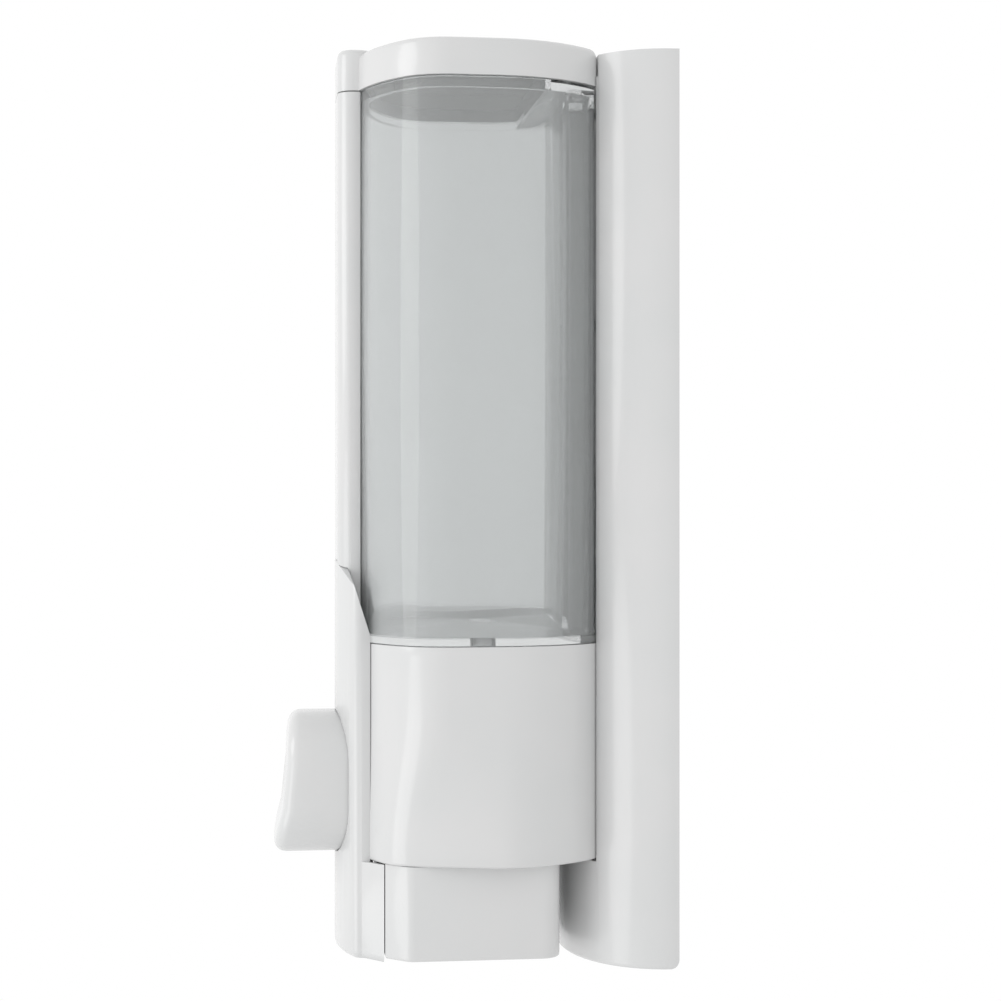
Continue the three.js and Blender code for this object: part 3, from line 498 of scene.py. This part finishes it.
def sweep_helix(tree, given, turns, section_radius, steps, sides):
    """Sweeps a section with this many sides along a helix with this many steps a turn, and ends the tree."""
    path = add(tree, "GeometryNodeCurveSpiral", {"Resolution": steps}, {
        "Rotations": turns,
        "Start Radius": given["Radius"],
        "End Radius": given["Radius"],
        "Height": given["Length"],
    })
    section = add(tree, "GeometryNodeCurvePrimitiveCircle", {"Resolution": sides}, {"Radius": section_radius})
    swept = add(tree, "GeometryNodeCurveToMesh", {"Fill Caps": True}, {
        "Curve": path.outputs["Curve"],
        "Profile Curve": section.outputs["Curve"],
    })
    real = add(tree, "GeometryNodeRealizeInstances", None, {"Geometry": swept.outputs["Mesh"]})
    painted = add(tree, "GeometryNodeSetMaterial", None, {
        "Geometry": real.outputs["Geometry"],
        "Material": given["Finish"],
    })
    add(tree, "NodeGroupOutput", None, {"Geometry": painted.outputs["Geometry"]})


def spring_tree():
    tree, given = start_tree("wound_spring", ("Radius", "Wire", "Length", "Turns"))
    sweep_helix(tree, given, given["Turns"], given["Wire"], steps=48, sides=14)
    return tree


def grown(name, tree, values):
    """Runs a node tree on an empty mesh with these inputs, and keeps the result as a plain mesh."""
    obj = new_object(name, bpy.data.meshes.new(name))
    modifier = obj.modifiers.new("nodes", "NODES")
    modifier.node_group = tree
    sockets = {item.name: item.identifier for item in tree.interface.items_tree if item.in_out == "INPUT"}
    for key, value in values.items():
        modifier[sockets[key]] = value
    return baked(obj)


WOUND = spring_tree()


def wind(node, name, wire_mm, turns, along):
    """A spring that fills its node's box, wound along an axis of the frame."""
    low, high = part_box(node)
    wire = wire_mm * MM
    size = high - low
    length = size[along] - 2 * wire
    across = max(size[a] for a in range(3) if a != along)
    coil = grown(name, WOUND, {
        "Radius": across / 2 - wire * 1.05,
        "Wire": wire,
        "Length": length,
        "Turns": float(turns),
        "Finish": FINISH["steel"],
    })
    middle = (low + high) / 2
    for vertex in coil.data.vertices:
        x, y, z = vertex.co
        z -= length / 2
        vertex.co = middle + (Vector((x, z, -y)) if along == 1 else Vector((x, y, z)))
    return finish_piece(coil, node)


return_coil = wind("return_spring", "return_spring_coil", 0.6, 6, along=1)
outlet_coil = wind("outlet_spring", "outlet_spring_coil", 0.25, 5, along=2)

# %% [markdown]
# A pressed spring gets shorter by exactly the travel of what presses it, and its far end stays where it is.
# The return spring stands on the cylinder's cap at its rear, and the outlet spring on the spout below it.
# Here each coil only gets a mesh of its own, and nothing shortens it.


def shortens(coil, node, along, fixed_end):
    """Gives a coil a mesh of its own; the axis and the end that stays are worked out, but nothing shortens the
    coil.
    """
    low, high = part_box(node)
    axis = Vector((0, 0, 0))
    axis[along] = 1
    anchor = (low + high) / 2
    anchor[along] = fixed_end
    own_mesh(coil)


shortens(return_coil, "return_spring", 1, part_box("return_spring")[1].y)
shortens(outlet_coil, "outlet_spring", 2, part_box("outlet_spring")[0].z)

# %% [markdown]
# ## Screws
# A screw is turned or cold formed: a pan head with a cross recess for the driver, a plain shank, and a
# thread rolled into it. The head and shank come from the node. The recess is cut with two crossed bars that
# taper like the driver's tip, and the thread is one ridge wound on the shank by Geometry Nodes. The nodes of
# the two wall screws end at the wall's face, before any thread, so their shank stays plain.

# %% Thread tree: a three-sided ridge swept along a helix
def thread_tree():
    tree, given = start_tree("rolled_thread", ("Radius", "Ridge", "Length", "Pitch"))
    turns = add(tree, "ShaderNodeMath", {"operation": "DIVIDE"})
    tree.links.new(given["Length"], turns.inputs[0])
    tree.links.new(given["Pitch"], turns.inputs[1])
    sweep_helix(tree, given, turns.outputs["Value"], given["Ridge"], steps=24, sides=3)
    return tree


THREAD = thread_tree()
HEAD_HEIGHT = 1.8 * MM
SHANK_RADIUS = 1.35 * MM
THREADED_SHARE, THREAD_END = 0.72, 0.88  # of the shank's length, the end counted from the head
THREAD_RIDGE, THREAD_PITCH = 0.3 * MM, 0.9 * MM
RECESS_DEPTH = 1.1 * MM
BAR_LENGTH, BAR_WIDTH = 1.2, 0.26  # shares of the head's radius
TIP_TAPER = 0.55


def cross_recess(place, turn, radius):
    """Two crossed bars, narrower towards their tip, standing at the head and pointing into it."""
    bm = bmesh.new()
    for quarter in range(2):
        made = bmesh.ops.create_cube(bm, size=1)["verts"]
        for vertex in made:
            x, y, z = vertex.co
            taper = 1.0 if z > 0 else TIP_TAPER
            long, thin = x * radius * BAR_LENGTH * taper, y * radius * BAR_WIDTH * taper
            x, y = (long, thin) if quarter == 0 else (thin, long)
            vertex.co = place + turn @ Vector((x, y, RECESS_DEPTH * 2 * z))
    mesh = bpy.data.meshes.new("driver_tip")
    bm.to_mesh(mesh)
    bm.free()
    return new_object("driver_tip", mesh)


def add_thread(screw, turn, top, outward, length):
    """Winds a ridge round the shank, short of the head and of the tip."""
    thread = grown("thread", THREAD, {
        "Radius": SHANK_RADIUS,
        "Ridge": THREAD_RIDGE,
        "Length": length * THREADED_SHARE,
        "Pitch": THREAD_PITCH,
        "Finish": FINISH["steel"],
    })
    start = top - outward * (HEAD_HEIGHT + length * THREAD_END)
    bm = bmesh.new()
    bm.from_mesh(thread.data)
    bmesh.ops.transform(bm, verts=bm.verts, matrix=turn.to_4x4())
    bmesh.ops.translate(bm, verts=bm.verts, vec=start)
    bm.from_mesh(screw.data)
    bmesh.ops.recalc_face_normals(bm, faces=bm.faces)
    bm.to_mesh(screw.data)
    bm.free()
    bpy.data.objects.remove(thread)


def finished_screw(node, axis, sign, threaded=True):
    """A screw along an axis of the frame (1 is Y, 2 is Z), with its head at the low or high end (sign)."""
    low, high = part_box(node)
    middle = (low + high) / 2
    head_end = (high if sign > 0 else low)[axis]
    outward = Vector((0, 0, 0))
    outward[axis] = sign
    turn = outward.to_track_quat("Z", "Y").to_matrix()
    top = middle.copy()
    top[axis] = head_end
    screw = round_edges(merged_copy(node, f"{node}_turned"), 0.12, 2)
    tip = cross_recess(top, turn, (high.x - low.x) / 2)
    cut = screw.modifiers.new("recess", "BOOLEAN")
    cut.operation = "DIFFERENCE"
    cut.solver = "EXACT"
    cut.use_self = True
    cut.object = tip
    baked(screw)
    bpy.data.objects.remove(tip)
    if threaded:
        add_thread(screw, turn, top, outward, high[axis] - low[axis] - HEAD_HEIGHT)
    return finish_piece(screw, node)


# %% Put a cross recess on every screw, and a thread on those whose shank is in the dispenser
for node, axis, sign in (
    ("pump_screw_left", 1, -1),
    ("pump_screw_right", 1, -1),
    ("shield_screw_left", 1, 1),
    ("shield_screw_right", 1, 1),
    ("rail_screw", 2, 1),
):
    finished_screw(node, axis, sign)
for node in ("wall_screw_upper", "wall_screw_lower"):
    finished_screw(node, 1, -1, threaded=False)

# %% [markdown]
# ## Smaller parts
# The cylinder, its cap, the plunger, the spout and the inlet cage are moulded in acetal, the piston cup and
# the grommet in silicone. The hinge pin is cut from wire and the pads are stamped from tape. Their nodes
# already have the right shape, so each copy only gets the small round that its making leaves on the edges.

# %% Moulded, cut and stamped parts
SMALL_ROUND = {
    "cylinder_cap": 0.15,
    "pump_cylinder": 0.15,
    "plunger": 0.15,
    "spout": 0.15,
    "inlet_cage": 0.15,
    "piston_cup": 0.1,
    "inlet_grommet": 0.2,
    "lid_hinge_pin": 0.2,
    "adhesive_pad_upper": 0.15,
    "adhesive_pad_lower": 0.15,
}
for node, radius_mm in SMALL_ROUND.items():
    softened(node, f"{node}_part", radius_mm)

# %% [markdown]
# ## Valve balls
# Bearing balls are ground between plates until they are round, so they are true spheres, kept at the place
# and size of their nodes.

# %% Balls
def ball(node):
    low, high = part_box(node)
    mesh = bpy.data.meshes.new(f"{node}_ground")
    bm = bmesh.new()
    bmesh.ops.create_uvsphere(bm, u_segments=40, v_segments=20, radius=(high.z - low.z) / 2)
    bmesh.ops.translate(bm, verts=bm.verts, vec=(low + high) / 2)
    bm.to_mesh(mesh)
    bm.free()
    return finish_piece(new_object(f"{node}_ground", mesh), node)


ball("inlet_ball")
ball("outlet_ball")

# %% [markdown]
# ## Floor, light and camera
# The floor is a small pale plane well below the dispenser. A white world gives soft light from everywhere,
# so the white plastic is shaded mostly by its own hollows, as in a light tent. A large soft lamp in front
# picks out the bevelled front corners, and a weaker one low down lifts the shade under the skirt.

# %% Floor
FLOOR_SIZE = 2.2
FLOOR_PLACE = (0, -0.05, -0.5)


def make_floor():
    bpy.ops.mesh.primitive_plane_add(size=FLOOR_SIZE, location=FLOOR_PLACE)
    floor = bpy.context.object
    floor.name = "studio_floor"
    material, tree, shader = start_material("painted_floor", Roughness=0.7)
    tint(tree, shader, noise(tree, 60), "#EDEDED", "#F1F1F1")
    floor.data.materials.append(material)


make_floor()

# %% World and lamps
world = bpy.data.worlds.new("light_tent")
bpy.context.scene.world = world
world.use_nodes = True
world.node_tree.nodes["Background"].inputs["Color"].default_value = (1, 1, 1, 1)
world.node_tree.nodes["Background"].inputs["Strength"].default_value = 1.0


def soft_lamp(name, place, aim, size, power):
    light = bpy.data.lights.new(name, "AREA")
    light.shape = "DISK"
    light.size = size
    light.energy = power
    lamp = bpy.data.objects.new(name, light)
    bpy.context.scene.collection.objects.link(lamp)
    lamp.location = place
    lamp.rotation_euler = (Vector(aim) - Vector(place)).to_track_quat("-Z", "Y").to_euler()


LAMP_AIM = Vector((0, -0.05, 0))
LAMPS = {  # place and width in metres, power in watts
    "front_lamp": ((0.25, -1.1, 0.35), 0.7, 2.6),
    "low_lamp": ((0.35, -0.75, -0.3), 0.5, 0.9),
}
for name, (place, size, power) in LAMPS.items():
    soft_lamp(name, place, LAMP_AIM, size, power)

# %% Camera: level with the middle of the dispenser, 83 degrees round from its front
CAMERA_AZIMUTH = math.radians(83)
CAMERA_DISTANCE = 0.68
CAMERA_AIM = Vector((0, -0.051, 0.00275))
LENS_MM, SENSOR_MM = 74.2, 36
camera_data = bpy.data.cameras.new("camera")
camera_data.lens = LENS_MM
camera_data.sensor_width = SENSOR_MM
camera = bpy.data.objects.new("camera", camera_data)
bpy.context.scene.collection.objects.link(camera)
offset = Vector((math.sin(CAMERA_AZIMUTH), -math.cos(CAMERA_AZIMUTH), 0)) * CAMERA_DISTANCE
camera.location = CAMERA_AIM + offset
camera.rotation_euler = (-offset).to_track_quat("-Z", "Y").to_euler()
bpy.context.scene.camera = camera
bpy.context.scene.view_settings.view_transform = "Standard"
print("camera at", tuple(round(v, 3) for v in camera.location))
